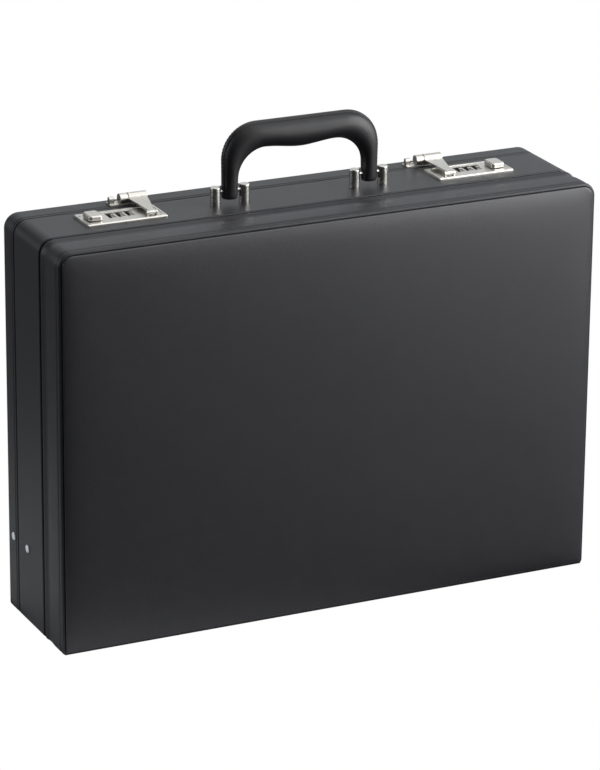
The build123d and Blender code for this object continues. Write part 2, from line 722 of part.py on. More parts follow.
def lock_housing(side):
    """The sheet-metal box under the plate, with brackets that carry the dial shaft."""
    centre = side * LOCK_X
    with BuildPart() as box:
        with Locations((centre, HOUSING_Y, TOP_Z)):
            Box(HOUSING_L, HOUSING_W, HOUSING_D, align=(MID, MID, HIGH))
        with Locations((centre, HOUSING_Y, TOP_Z)):
            Box(
                HOUSING_L - 2 * SHEET, HOUSING_W - 2 * SHEET, HOUSING_D - SHEET,
                align=(MID, MID, HIGH), mode=Mode.SUBTRACT,
            )
        for t in (-1, 1):
            with Locations((centre + t * (BRACKET_U + 0.5), HOUSING_Y, TOP_Z - 1.5)):
                Box(1.0, HOUSING_W - SHEET, HOUSING_D - 1.5, align=(MID, MID, HIGH))
        shaft = (centre - BRACKET_U - 1.2, centre + BRACKET_U + 1.2)
        round_x(*shaft, DIAL_Y, TOP_Z + DIAL_H, DIAL_SHAFT_R, Mode.SUBTRACT)
    return box.part


def dial_shaft(side):
    """The shaft that the three dials turn on."""
    centre = side * LOCK_X
    with BuildPart() as shaft:
        pair = (centre - BRACKET_U - 1.0, centre + BRACKET_U + 1.0)
        round_x(*pair, DIAL_Y, TOP_Z + DIAL_H, DIAL_SHAFT_R)
    return shaft.part


def dial(x):
    """One number wheel with ten finger notches and a hub on each side."""
    z = TOP_Z + DIAL_H
    with BuildPart() as wheel:
        round_x(x - DIAL_T / 2, x + DIAL_T / 2, DIAL_Y, z, DIAL_R)
        chamfer(wheel.edges().filter_by(GeomType.CIRCLE), 0.3)
        round_x(x - DIAL_HUB_L / 2, x + DIAL_HUB_L / 2, DIAL_Y, z, 3.5)
        with Locations(Location((x, DIAL_Y, z), (0, 90, 0))):
            with PolarLocations(DIAL_R + 0.25, 10, start_angle=18):
                Cylinder(0.55, DIAL_T, mode=Mode.SUBTRACT)
        bore = DIAL_SHAFT_R + RUN
        round_x(x - DIAL_PITCH, x + DIAL_PITCH, DIAL_Y, z, bore, Mode.SUBTRACT)
    return wheel.part


def slide_button(side):
    """The thumb button that slides outwards, with its stem through the plate."""
    with BuildPart() as button:
        with Locations(lock_frame(side, BUTTON_U, LOCK_Y, LOCK_T + 0.3)):
            Box(11.5, 15.0, 3.7, align=(MID, MID, LOW))
        fillet(button.edges().filter_by(Axis.Z), 2.5)
        fillet(button.faces().sort_by(Axis.Z)[-1].edges(), 1.4)
        with Locations(lock_frame(side, STEM_U, LOCK_Y, LOCK_T + 0.5)):
            Box(STEM_X, STEM_Y, LOCK_T + 3.0, align=(MID, MID, HIGH))
        with Locations(lock_frame(side, STEM_U - 1.5, LOCK_Y, -1.5)):
            Box(STEM_X + 3.0, 9.0, 1.0, align=(MID, MID, HIGH))
    return button.part


def hasp(side):
    """The sprung arm from the plate's front edge over the seam to the lid's catch."""
    centre = side * (LOCK_X + HASP_U)
    top = TOP_Z
    pin_h = top + HASP_PIN_H
    with BuildPart() as arm:
        with BuildSketch(Plane.YZ.offset(centre - 12)):
            with BuildLine():
                knuckle_top = (HASP_PIN_Y, pin_h + HASP_KNUCKLE_R)
                knuckle_low = (HASP_PIN_Y + 1.2, pin_h - 0.2)
                roll_top = (ROLL_Y - 1.0, top + ARM_H)
                roll_low = (ROLL_Y - 1.0, top + ARM_H - ARM_T)
                ThreePointArc(knuckle_top, (19.0, top + ARM_H + 0.3), roll_top)
                Line(roll_top, roll_low)
                ThreePointArc(roll_low, (19.0, top + ARM_H + 0.3 - ARM_T), knuckle_low)
                Line(knuckle_low, knuckle_top)
            make_face()
        extrude(amount=26)
        with BuildSketch(Plane.XY.offset(top)):
            with BuildLine():
                Polyline(
                    (centre - HASP_KNUCKLE_W / 2, HASP_PIN_Y - 4),
                    (centre - HASP_KNUCKLE_W / 2, HASP_PIN_Y + 3),
                    (centre - ARM_LEFT, ROLL_Y - 4),
                    (centre - ARM_LEFT, ROLL_Y + 4),
                    (centre + ARM_RIGHT, ROLL_Y + 4),
                    (centre + ARM_RIGHT, ROLL_Y - 4),
                    (centre + HASP_KNUCKLE_W / 2, HASP_PIN_Y + 3),
                    (centre + HASP_KNUCKLE_W / 2, HASP_PIN_Y - 4),
                    close=True,
                )
            make_face()
        extrude(amount=20, mode=Mode.INTERSECT)
        knuckle = (centre - HASP_KNUCKLE_W / 2, centre + HASP_KNUCKLE_W / 2)
        round_x(*knuckle, HASP_PIN_Y, pin_h, HASP_KNUCKLE_R)
        round_x(centre - 11, centre - ARM_LEFT, ROLL_Y, top + ROLL_H, ROLL_R)
        round_x(centre - ARM_LEFT, centre + 1 - ARM_LEFT, ROLL_Y, top + ROLL_H, ROLL_R - 0.7)
        round_x(centre + 1 - ARM_LEFT, centre + 11, ROLL_Y, top + ROLL_H, ROLL_R)
        pin_hole = (centre - HASP_KNUCKLE_W, centre + HASP_KNUCKLE_W)
        round_x(*pin_hole, HASP_PIN_Y, pin_h, HASP_PIN_R + RUN, Mode.SUBTRACT)
    return arm.part


def hasp_pin(side):
    """The pin through the plate's lugs and the hasp's knuckle."""
    centre = side * (LOCK_X + HASP_U)
    half = HASP_KNUCKLE_W / 2 + 0.2 + LUG_T
    with BuildPart() as pin:
        round_x(centre - half, centre + half, HASP_PIN_Y, TOP_Z + HASP_PIN_H, HASP_PIN_R)
    return pin.part


def catch(side):
    """The keeper on the lid: a thin base under the hasp's roll and an upright ear."""
    centre = side * (LOCK_X + HASP_U)
    with BuildPart() as keeper:
        add_box((centre - 18.5, centre + 10.5), (37.5, 47.5), (TOP_Z, TOP_Z + CATCH_T))
        add_box((centre - 18.5, centre - 14.5), (40.0, 44.0), (TOP_Z, TOP_Z + 4.5))
        round_x(centre - 18.5, centre - 14.5, 42.0, TOP_Z + 4.5, 2.0)
        for x, y in catch_screw_places(side):
            round_z(x, y, RIVET_R, TOP_Z - 1, TOP_Z + 3, Mode.SUBTRACT)
    return keeper.part


for name, side in SIDES:
    save(lock_plate(side), f"{name}_lock_plate")
    save(lock_housing(side), f"{name}_lock_housing")
    save(dial_shaft(side), f"{name}_dial_shaft")
    save(slide_button(side), f"{name}_slide_button")
    save(hasp(side), f"{name}_hasp")
    save(hasp_pin(side), f"{name}_hasp_pin")
    save(catch(side), f"{name}_catch")
    for number, place in enumerate((-1, 0, 1), start=1):
        save(dial(side * LOCK_X + place * DIAL_PITCH + DIAL_SHIFT), f"{name}_dial_{number}")


def rivets_at(places, seat):
    """Small domed rivets that stand on a plate of thickness seat on the top wall."""
    with BuildPart() as rivets:
        for x, y in places:
            round_z(x, y, RIVET_R, TOP_Z - RIVET_DEPTH, TOP_Z + seat)
            round_z(x, y, RIVET_R + 0.5, TOP_Z + seat, TOP_Z + seat + 0.4)
        fillet(rivets.faces().group_by(Axis.Z)[-1].edges(), 0.3)
    return rivets.part


save(rivets_at([p for _, s in SIDES for p in lock_rivet_places(s)], LOCK_FIELD), "lock_rivets")
save(rivets_at([p for _, s in SIDES for p in catch_screw_places(s)], CATCH_T), "catch_rivets")
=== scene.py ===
import math

import bpy
from mathutils import Matrix, Vector

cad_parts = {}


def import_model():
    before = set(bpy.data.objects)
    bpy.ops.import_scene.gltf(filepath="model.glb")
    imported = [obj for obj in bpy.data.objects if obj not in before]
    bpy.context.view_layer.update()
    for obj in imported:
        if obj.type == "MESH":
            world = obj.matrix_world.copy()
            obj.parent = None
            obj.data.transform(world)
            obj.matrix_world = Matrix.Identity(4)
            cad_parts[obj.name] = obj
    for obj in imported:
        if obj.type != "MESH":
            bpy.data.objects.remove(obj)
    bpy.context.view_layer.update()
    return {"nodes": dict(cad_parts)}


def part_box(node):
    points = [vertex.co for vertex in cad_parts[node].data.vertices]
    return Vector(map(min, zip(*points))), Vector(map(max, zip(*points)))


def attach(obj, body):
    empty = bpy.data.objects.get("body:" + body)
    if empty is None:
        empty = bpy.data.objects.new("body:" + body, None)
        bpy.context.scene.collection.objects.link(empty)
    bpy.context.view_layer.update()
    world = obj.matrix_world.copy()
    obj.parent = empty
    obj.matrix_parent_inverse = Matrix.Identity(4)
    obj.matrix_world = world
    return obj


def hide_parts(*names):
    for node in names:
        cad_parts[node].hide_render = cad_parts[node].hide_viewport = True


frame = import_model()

# A black leather attache case with nickel hardware. Everything is in metres, in the
# CAD frame: X along the width, Y from the front panel to the back of the lid, Z up.

MM = 0.001


# ---------------------------------------------------------------- places from the frame
SKIN_LOW, SKIN_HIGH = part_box("body_leather")
TRAY_LOW, TRAY_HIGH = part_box("tray_leather")
LID_LOW, LID_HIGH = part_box("lid_leather")
PANEL_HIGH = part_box("front_panel")[1]
HALF_W = SKIN_HIGH[0]
TOP = SKIN_HIGH[2]
TOP_R = 11.5 * MM
BOTTOM_R = 3 * MM
LEAST_R = 0.4 * MM
GROUND_GAP = 0.1 * MM


# ---------------------------------------------------------------- node materials
class Nodes:
    """A short way to write a node tree: each call adds a node and returns its output."""

    def __init__(self, name):
        self.material = bpy.data.materials.new(name)
        self.material.use_nodes = True
        self.tree = self.material.node_tree
        self.tree.nodes.clear()
        self.out = self.tree.nodes.new("ShaderNodeOutputMaterial")
        self.coords = self.tree.nodes.new("ShaderNodeTexCoord").outputs["Object"]

    def put(self, socket, value):
        """Joins an output to a socket, or sets the socket's value."""
        if isinstance(value, bpy.types.NodeSocket):
            self.tree.links.new(value, socket)
        elif isinstance(value, (tuple, list)) and len(socket.default_value) == 4:
            socket.default_value = (*value, 1)[:4]
        else:
            socket.default_value = value

    def node(self, kind, out=0, inputs=None, **settings):
        """Adds a node with its settings and inputs, and returns one output."""
        made = self.tree.nodes.new(kind)
        for key, value in settings.items():
            setattr(made, key, value)
        for key, value in (inputs or {}).items():
            self.put(made.inputs[key], value)
        return made.outputs[out]

    def noise(self, scale, detail=3, rough=0.55, coords=None, out="Fac"):
        """Fractal noise at a scale in cells per metre."""
        where = self.coords if coords is None else coords
        return self.node("ShaderNodeTexNoise", out, {"Vector": where, "Scale": scale,
                         "Detail": detail, "Roughness": rough})

    def cells(self, scale, coords):
        """Voronoi cells at a scale in cells per metre: the distance to a cell's edge."""
        return self.node("ShaderNodeTexVoronoi", "Distance", {"Vector": coords,
                         "Scale": scale, "Randomness": 1.0}, feature="DISTANCE_TO_EDGE")

    def math(self, how, a, b):
        """One arithmetic step."""
        return self.node("ShaderNodeMath", 0, {0: a, 1: b}, operation=how)

    def remap(self, value, low, high, to_low=0.0, to_high=1.0):
        """Stretches a value from one range to another, held at the ends."""
        return self.node("ShaderNodeMapRange", 0, {"Value": value, "From Min": low,
                         "From Max": high, "To Min": to_low, "To Max": to_high})

    def mix(self, factor, a, b):
        """Mixes two colours."""
        return self.node("ShaderNodeMix", 2, {0: factor, 6: a, 7: b}, data_type="RGBA")

    def bump(self, height, strength, distance, normal=None):
        """Turns a height into a normal."""
        inputs = {"Height": height, "Strength": strength, "Distance": distance}
        if normal is not None:
            inputs["Normal"] = normal
        return self.node("ShaderNodeBump", 0, inputs)

    def bevel(self, radius):
        """Rounds hard edges by a radius, in shading only."""
        return self.node("ShaderNodeBevel", 0, {"Radius": radius}, samples=6)

    def finish(self, **inputs):
        """Adds the surface shader and returns the material."""
        shader = self.tree.nodes.new("ShaderNodeBsdfPrincipled")
        for key, value in inputs.items():
            self.put(shader.inputs[key.replace("_", " ").title()
                                   .replace("Ior", "IOR")], value)
        self.tree.links.new(shader.outputs[0], self.out.inputs[0])
        return self.material


def leather(name, tint, grain, relief, rough, calm=1.0, shine=0.1, gloss=0.5):
    """Finished leather: pebbled cells with painted shade in the hollows between them, pores, fine
    creases, and worn, shinier edges.
    """
    n = Nodes(name)
    wander = n.noise(grain * 0.35, 2, 0.5, out="Color")
    warped = n.node("ShaderNodeMix", 1, {0: 0.0025, 4: n.coords, 5: wander},
                    data_type="VECTOR")
    pebbles = n.remap(n.cells(grain, warped), 0.0, 0.32)
    small = n.remap(n.cells(grain * 2.1, warped), 0.0, 0.4)
    pores = n.noise(grain * 5.5, 2, 0.6)
    broad = n.noise(28, 3, 0.5)
    patches = n.noise(95, 4, 0.6)
    height = n.math("ADD", n.math("MULTIPLY", pebbles, 0.6), n.math("MULTIPLY", small, 0.3))
    height = n.math("ADD", height, n.math("MULTIPLY", pores, 0.2))
    swell = n.bump(broad, 0.3 * calm, 0.6 * MM)
    normal = n.bump(height, relief, 0.16 * MM, swell)
    pointed = n.node("ShaderNodeNewGeometry", "Pointiness")
    worn = n.remap(pointed, 0.515, 0.56, 0.0, 0.5)
    dark = tuple(c * (1 - 0.25 * calm) for c in tint)
    light = tuple(c * (1 + 0.25 * calm) for c in tint)
    colour = n.mix(n.remap(patches, 0.35, 0.68), dark, light)
    # painted shade: the colour darkens in the hollows between the pebbles, where the cells meet
    colour = n.mix(n.remap(pebbles, 0.0, 0.6, 0.45, 0.0), colour, tuple(c * 0.35 for c in tint))
    colour = n.mix(worn, colour, tuple(c * 2.2 for c in tint))
    roughness = n.remap(patches, 0.3, 0.7, rough - 0.05 * calm, rough + 0.05 * calm)
    roughness = n.math("SUBTRACT", roughness, n.math("MULTIPLY", worn, 0.12))
    return n.finish(base_color=colour, roughness=roughness, normal=normal,
                    specular_ior_level=gloss, coat_weight=shine, coat_roughness=0.3)


def metal(name, tint, rough, brush=0.0, edge=0.25):
    """Plated metal: fine brushing or polish, smudges and rounded edges."""
    n = Nodes(name)
    stretched = n.node("ShaderNodeMapping", 0, {"Vector": n.coords, "Scale": (60, 1400, 1400)})
    lines = n.noise(1.0, 2, 0.5, coords=stretched)
    smudge = n.noise(160, 4, 0.6)
    pits = n.noise(2600, 2, 0.5)
    round_edge = n.bevel(edge * MM)
    normal = n.bump(n.math("ADD", n.math("MULTIPLY", lines, brush), n.math("MULTIPLY", pits, 0.15)),
                    0.25, 0.03 * MM, round_edge)
    colour = n.mix(n.remap(smudge, 0.35, 0.7), tuple(c * 0.9 for c in tint), tint)
    roughness = n.remap(smudge, 0.3, 0.75, rough - 0.04, rough + 0.08)
    return n.finish(base_color=colour, metallic=1.0, roughness=roughness, normal=normal)


def cloth(name, tint, scale):
    """Short-napped lining: a mottled nap over a fine weave."""
    n = Nodes(name)
    nap = n.noise(scale * 1.6, 4, 0.65)
    weave = n.node("ShaderNodeTexWave", "Fac", {"Vector": n.coords, "Scale": scale * 0.5,
                   "Distortion": 1.5, "Detail": 2.0, "Detail Scale": 3.0})
    broad = n.noise(24, 3, 0.6)
    normal = n.bump(n.math("ADD", n.math("MULTIPLY", nap, 0.8), n.math("MULTIPLY", weave, 0.3)),
                    0.5, 0.25 * MM)
    colour = n.mix(n.remap(nap, 0.3, 0.7), tuple(c * 0.65 for c in tint), tint)
    colour = n.mix(n.remap(broad, 0.35, 0.7, 0.0, 0.5), colour, tuple(c * 1.45 for c in tint))
    return n.finish(base_color=colour, roughness=0.92, normal=normal, sheen_weight=0.35,
                    sheen_roughness=0.4, specular_ior_level=0.2)


def board(name, tint):
    """Board and black-stained plywood edges, seen only in the gaps."""
    n = Nodes(name)
    stretched = n.node("ShaderNodeMapping", 0, {"Vector": n.coords, "Scale": (25, 900, 25)})
    grain = n.noise(1.0, 4, 0.6, coords=stretched)
    colour = n.mix(n.remap(grain, 0.3, 0.7), tuple(c * 0.6 for c in tint), tint)
    return n.finish(base_color=colour, roughness=0.7, normal=n.bump(grain, 0.3, 0.2 * MM),
                    specular_ior_level=0.08)


def thread(name, tint):
    """Waxed sewing thread with its twist."""
    n = Nodes(name)
    twist = n.node("ShaderNodeTexWave", "Fac", {"Vector": n.coords, "Scale": 420.0,
                   "Distortion": 1.0}, bands_direction="DIAGONAL")
    colour = n.mix(twist, tuple(c * 0.6 for c in tint), tint)
    return n.finish(base_color=colour, roughness=0.6, normal=n.bump(twist, 0.5, 0.08 * MM),
                    specular_ior_level=0.2)


EDGE_TINT = (0.0195, 0.0195, 0.0235)
STRIP_LEATHER = leather("strip_leather", EDGE_TINT, 900, 0.5, 0.47, calm=0.6, gloss=0.34)
BAND_LEATHER = leather("band_leather", EDGE_TINT, 1100, 0.3, 0.47, calm=0.5, gloss=0.34)
PANEL_LEATHER = leather("panel_leather", (0.019, 0.019, 0.0225), 800, 0.3, 0.42, calm=0.2)
GRIP_LEATHER = leather("grip_leather", (0.006, 0.006, 0.0075), 1300, 0.35, 0.44, calm=0.6, gloss=0.4)
POCKET_LEATHER = leather("pocket_leather", (0.03, 0.03, 0.032), 1000, 0.5, 0.55, shine=0.0)
SATIN = metal("satin_nickel", (0.64, 0.62, 0.58), 0.3, brush=0.6)
BRIGHT = metal("bright_nickel", (0.66, 0.64, 0.6), 0.24, edge=0.35)
DIAL = metal("dial_metal", (0.26, 0.25, 0.23), 0.36, edge=0.15)
RIVET = metal("rivet_nickel", (0.92, 0.91, 0.94), 0.5, edge=0.3)
ZINC = metal("zinc_steel", (0.5, 0.5, 0.5), 0.4, brush=0.4)
TONGUE = metal("tongue_metal", (0.55, 0.56, 0.57), 0.36, brush=0.8, edge=0.5)
LINING = cloth("lining_cloth", (0.075, 0.075, 0.08), 1500)
SLEEVE = board("sleeve_board", (0.012, 0.012, 0.013))
WOOD = board("shell_wood", (0.006, 0.0055, 0.005))
THREAD = thread("black_thread", (0.012, 0.012, 0.013))
INK = thread("number_ink", (0.008, 0.008, 0.009))


# ---------------------------------------------------------------- mesh helpers
def make(name, verts, faces, material, body, smooth=True):
    """Makes one piece from vertices and faces, on its body and with its finish."""
    mesh = bpy.data.meshes.new(name)
    mesh.from_pydata([tuple(v) for v in verts], [], faces)
    mesh.update()
    if smooth:
        mesh.polygons.foreach_set("use_smooth", [True] * len(mesh.polygons))
    piece = bpy.data.objects.new(name, mesh)
    bpy.context.scene.collection.objects.link(piece)
    mesh.materials.append(material)
    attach(piece, body)
    return piece


def soft_step(value, low, high):
    """0 below low, 1 above high, and smooth between."""
    t = min(max((value - low) / (high - low), 0), 1)
    return t * t * (3 - 2 * t)


def outline(inset):
    """The case's outline, inset: a loop of (x, z) with its outward normals.

    Every inset gives the same number of points in the same order, anticlockwise seen
    from the front panel, so loops at different insets join up point by point.
    """
    half = HALF_W - inset
    high = TOP - inset
    low = inset
    r_top = max(TOP_R - inset, LEAST_R)
    r_low = max(BOTTOM_R - inset, LEAST_R)
    corners = [  # centre of each corner, its radius, its first angle and its steps
        (half - r_low, low + r_low, r_low, -90, 4),
        (half - r_top, high - r_top, r_top, 0, 14),
        (r_top - half, high - r_top, r_top, 90, 14),
        (r_low - half, low + r_low, r_low, 180, 4),
    ]
    straight = [48, 64, 48, 64]  # steps up the right side, along the top, and so on
    points = []
    for k, (cx, cz, r, first, steps) in enumerate(corners):
        for i in range(steps + 1):
            angle = math.radians(first + 90 * i / steps)
            nx, nz = math.cos(angle), math.sin(angle)
            points.append((cx + r * nx, cz + r * nz, nx, nz))
        nx, nz = points[-1][2:]
        next_x, next_z, next_r, next_first, _ = corners[(k + 1) % 4]
        angle = math.radians(next_first)
        end = (next_x + next_r * math.cos(angle), next_z + next_r * math.sin(angle))
        start = points[-1][:2]
        for i in range(1, straight[k]):
            t = i / straight[k]
            points.append((start[0] + (end[0] - start[0]) * t,
                           start[1] + (end[1] - start[1]) * t, nx, nz))
    return points


def smooth_profile(points, steps=5):
    """A smooth curve through (depth, height) points, in millimetres, as metres."""
    result = []
    padded = [points[0], *points, points[-1]]
    for k in range(1, len(padded) - 2):
        p0, p1, p2, p3 = (Vector(p) for p in padded[k - 1:k + 3])
        for i in range(steps):
            t = i / steps
            result.append(0.5 * ((2 * p1) + (p2 - p0) * t
                          + (2 * p0 - 5 * p1 + 4 * p2 - p3) * t * t
                          + (3 * p1 - p0 - 3 * p2 + p3) * t ** 3) * MM)
    result.append(Vector(points[-1]) * MM)
    return [(p[0], p[1]) for p in result]


def loops_mesh(loops, cap=False, flip=False):
    """Vertices and faces that join equal-length closed loops in order."""
    count = len(loops[0])
    verts = [v for loop in loops for v in loop]
    faces = []
    for j in range(len(loops) - 1):
        for i in range(count):
            k = (i + 1) % count
            face = (j * count + i, j * count + k, (j + 1) * count + k, (j + 1) * count + i)
            faces.append(face[::-1] if flip else face)
    if cap:
        last = tuple((len(loops) - 1) * count + i for i in range(count))
        faces.append(last[::-1] if flip else last)
    return verts, faces


def band(name, profile, material, body):
    """A strip of leather round the case, its profile given as (depth, height) in mm.

    Its underside stays flat, just clear of the ground, where the profile isn't deeply sunk.
    """
    loops = []
    for y, height in smooth_profile(profile):
        sunk = height < -1.0 * MM
        ring = []
        for x, z, _, nz in outline(-height):
            free = sunk or nz > -0.9
            ring.append((x, y, max(z, GROUND_GAP) if free else GROUND_GAP))
        loops.append(ring)
    verts, faces = loops_mesh(loops, flip=profile[0][0] < profile[-1][0])
    return make(name, verts, faces, material, body)


STITCH_SIDES = 5
STITCH_RINGS = (  # place along the stitch, size and lift of each ring
    (-0.5, 0.35, -0.5), (-0.36, 0.9, 0.25), (0.0, 1.0, 0.45), (0.36, 0.9, 0.25), (0.5, 0.35, -0.5))


def stitches(name, line, body, pitch=3.4 * MM, length=2.5 * MM, width=0.34 * MM, closed=False):
    """Sewing thread along a line of (place, outward normal) pairs, one stitch at a time."""
    points = [Vector(p) for p, _ in line]
    normals = [Vector(v).normalized() for _, v in line]
    if closed:
        points.append(points[0])
        normals.append(normals[0])
    lengths = [0.0]
    for a, b in zip(points, points[1:]):
        lengths.append(lengths[-1] + (b - a).length)
    verts = []
    faces = []

    def at(s):
        """The place, the normal and the direction at a distance along the line."""
        low, high = 0, len(lengths) - 2
        while low < high:
            middle = (low + high + 1) // 2
            if lengths[middle] <= s:
                low = middle
            else:
                high = middle - 1
        k = low
        t = (s - lengths[k]) / max(lengths[k + 1] - lengths[k], 1e-9)
        normal = normals[k].lerp(normals[k + 1], t).normalized()
        return points[k].lerp(points[k + 1], t), normal, (points[k + 1] - points[k]).normalized()

    number = int(lengths[-1] / pitch)
    step = lengths[-1] / max(number, 1)
    for i in range(number):
        middle = (i + 0.5) * step
        base = len(verts)
        for along, size, lift in STITCH_RINGS:
            place, normal, tangent = at(middle + along * length)
            side = tangent.cross(normal).normalized()
            for corner in range(STITCH_SIDES):
                angle = math.tau * corner / STITCH_SIDES
                verts.append(place + width * (side * math.cos(angle) * size
                             + normal * (math.sin(angle) * 0.7 * size + lift)))
        for ring in range(len(STITCH_RINGS) - 1):
            for corner in range(STITCH_SIDES):
                a = base + ring * STITCH_SIDES + corner
                b = base + ring * STITCH_SIDES + (corner + 1) % STITCH_SIDES
                faces.append((a, b, b + STITCH_SIDES, a + STITCH_SIDES))
        last = len(verts) - STITCH_SIDES
        faces.append(tuple(base + c for c in range(STITCH_SIDES))[::-1])
        faces.append(tuple(last + c for c in range(STITCH_SIDES)))
    return make(name, verts, faces, THREAD, body)


def round_line(y, height):
    """The line round the case at one depth, a height above its skin."""
    return [((x, y, max(z, 0.3 * MM)), (nx, 0, nz)) for x, z, nx, nz in outline(-height)]


# ---------------------------------------------------------------- leather skins
BODY_FRONT = SKIN_LOW[1] / MM
BODY_BACK = SKIN_HIGH[1] / MM
body_skin = band("body_band", [
    (BODY_FRONT + 2.0, -1.9), (BODY_FRONT + 1.5, -1.5), (BODY_FRONT + 1.4, -0.9),
    (BODY_FRONT + 1.6, -0.4), (BODY_FRONT + 2.1, -0.08), (BODY_FRONT + 3.0, 0.05),
    (BODY_FRONT + 5.0, 0.0), (-5.0, 0.0), (10.0, 0.0), (24.0, 0.0), (BODY_BACK - 2.2, 0.0),
    (BODY_BACK - 1.2, -0.1), (BODY_BACK - 0.75, -0.45), (BODY_BACK - 0.65, -1.1),
    (BODY_BACK - 1.2, -1.8)], BAND_LEATHER, "body")
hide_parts("body_leather")

TRAY_BACK = TRAY_HIGH[1] / MM
TRAY_FRONT = TRAY_LOW[1] / MM
tray_skin = band("tray_strip", [
    (TRAY_FRONT + 1.8, -3.8), (TRAY_FRONT + 0.5, -3.0), (TRAY_FRONT + 0.1, -1.8),
    (TRAY_FRONT + 0.5, -0.8), (TRAY_FRONT + 1.6, -0.15), (TRAY_FRONT + 3.2, 0.0),
    (TRAY_FRONT + 4.5, -0.35), (TRAY_FRONT + 5.1, -0.8), (TRAY_FRONT + 5.7, -0.4),
    (TRAY_FRONT + 7.4, -0.05), (-43.0, 0.0), (-38.0, -0.05), (TRAY_BACK - 17.0, -0.15),
    (TRAY_BACK - 13.5, -0.45), (TRAY_BACK - 10.5, -0.85), (TRAY_BACK - 7.5, -0.9),
    (TRAY_BACK - 5.8, -0.5), (TRAY_BACK - 4.4, -0.05), (TRAY_BACK - 3.2, 0.2),
    (TRAY_BACK - 2.2, 0.05), (TRAY_BACK - 1.5, -0.4), (TRAY_BACK - 1.3, -0.9),
    (TRAY_BACK - 1.4, -1.5), (TRAY_BACK - 2.0, -1.9)], STRIP_LEATHER, "tray")
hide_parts("tray_leather")

LID_FRONT = LID_LOW[1] / MM
LID_BACK = LID_HIGH[1] / MM
BACK_GROOVE_IN = 10.6


def lid_shell():
    """The lid's skin: the strip round the edge, rolled over into a crowned back panel."""
    profile = smooth_profile([
        (LID_FRONT + 1.1, -1.8), (LID_FRONT + 0.55, -1.1), (LID_FRONT + 0.65, -0.45),
        (LID_FRONT + 1.1, -0.1), (LID_FRONT + 2.0, 0.0), (LID_FRONT + 3.0, -0.15),
        (LID_FRONT + 3.7, -0.6), (LID_FRONT + 4.4, -0.15), (LID_FRONT + 5.6, 0.0),
        (45.0, 0.0), (50.0, 0.0),
        (LID_BACK - 3.2, -0.05), (LID_BACK - 1.9, -0.45), (LID_BACK - 1.0, -1.1),
        (LID_BACK - 0.45, -2.2), (LID_BACK - 0.2, -3.6)])
    loops = []
    for y, height in profile:
        loops.append([(x, y, max(z, GROUND_GAP)) for x, z, _, _ in outline(-height)])
    for inset in (5, 7, 9, 10, 10.6, 11.2, 12, 14, 18, 26, 40, 60, 85, 110, 135, 157):
        groove = math.exp(-((inset - BACK_GROOVE_IN) / 0.5) ** 2) * 0.5
        ring = []
        for x, z, _, _ in outline(inset * MM):
            crown = (1 - (x / HALF_W) ** 4) * (1 - ((z - TOP / 2) / (TOP / 2)) ** 4)
            ring.append((x, (LID_BACK - 0.2 + 0.2 * max(crown, 0) - groove) * MM, z))
        loops.append(ring)
    verts, faces = loops_mesh(loops, cap=True, flip=True)
    return make("lid_shell", verts, faces, STRIP_LEATHER, "lid")


lid_skin = lid_shell()
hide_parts("lid_leather")


def padded_panel():
    """The front panel: leather drawn over a pad that thins out towards its rolled edge."""
    edge = (HALF_W - PANEL_HIGH[0]) / MM + 0.4
    base = PANEL_HIGH[1] / MM
    loops = []

    def fullness(x, z, reach):
        """How full the pad is at a place: 0 at its edge, 1 far from every side."""
        full = 1.0
        for gap in (HALF_W - abs(x), TOP - z, z):
            full *= 1 - math.exp(-max(gap / MM - edge - 0.4, 0) / reach)
        return full

    roll = ((1.4, 0.0), (0.5, 0.0), (0.1, -0.35), (0.0, -0.75), (0.15, -1.1), (0.5, -1.4))
    for inset, depth in roll:
        loops.append([(x, (base + depth) * MM, z) for x, z, _, _ in outline((edge + inset) * MM)])
    for inset in (1.0, 1.7, 2.6, 3.8, 5.2, 7, 9, 12, 16, 21, 28, 38, 52, 70, 92, 118, 142, 155):
        ring = []
        for x, z, _, _ in outline((edge + inset) * MM):
            depth = 1.4 + 1.2 * fullness(x, z, 6) + 1.5 * fullness(x, z, 24)
            swell = 0.12 * math.sin(x * 31 + z * 17) * math.sin(z * 23 - x * 9)
            ring.append((x, (base - depth - swell * soft_step(inset, 4, 40)) * MM, z))
        loops.append(ring)
    verts, faces = loops_mesh(loops, cap=True)
    return make("padded_panel", verts, faces, PANEL_LEATHER, "tray")


panel = padded_panel()
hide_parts("front_panel")

stitches("lid_edge_stitches", round_line((LID_FRONT + 3.7) * MM, -0.5 * MM), "lid", closed=True)
stitches("tray_lip_stitches", round_line((TRAY_FRONT + 5.2) * MM, -0.7 * MM), "tray", closed=True)


# ---------------------------------------------------------------- handle
GRIP_LOW, GRIP_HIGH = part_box("handle_grip")
HANDLE_Y = (GRIP_LOW[1] + GRIP_HIGH[1]) / 2
LEG_LOW = GRIP_LOW[2]
OUT_X = GRIP_HIGH[0]
LEG_T = 12.8 * MM
GRIP_T = 21 * MM
GRIP_BOW = 2.6 * MM
OUT_BEND = 28 * MM
IN_BEND = 23 * MM
LEG_SHARE = 0.12
BEND_SHARE = 0.21


def handle_edge(leg_x, top, bend, bow, place):
    """A point on the handle's outer or inner edge, at a place from 0 to 1 along it."""
    fold = min(place, 1 - place)
    if fold < LEG_SHARE:
        x = leg_x
        z = LEG_LOW + (top - bend - LEG_LOW) * fold / LEG_SHARE
    elif fold < LEG_SHARE + BEND_SHARE:
        angle = math.pi / 2 * (fold - LEG_SHARE) / BEND_SHARE
        x = leg_x - bend * (1 - math.cos(angle))
        z = top - bend * (1 - math.sin(angle))
    else:
        share = (fold - LEG_SHARE - BEND_SHARE) / (0.5 - LEG_SHARE - BEND_SHARE)
        x = (leg_x - bend) * (1 - share)
        z = top - bow * share * share * (3 - 2 * share)
    return Vector((x if place > 0.5 else -x, HANDLE_Y, z))


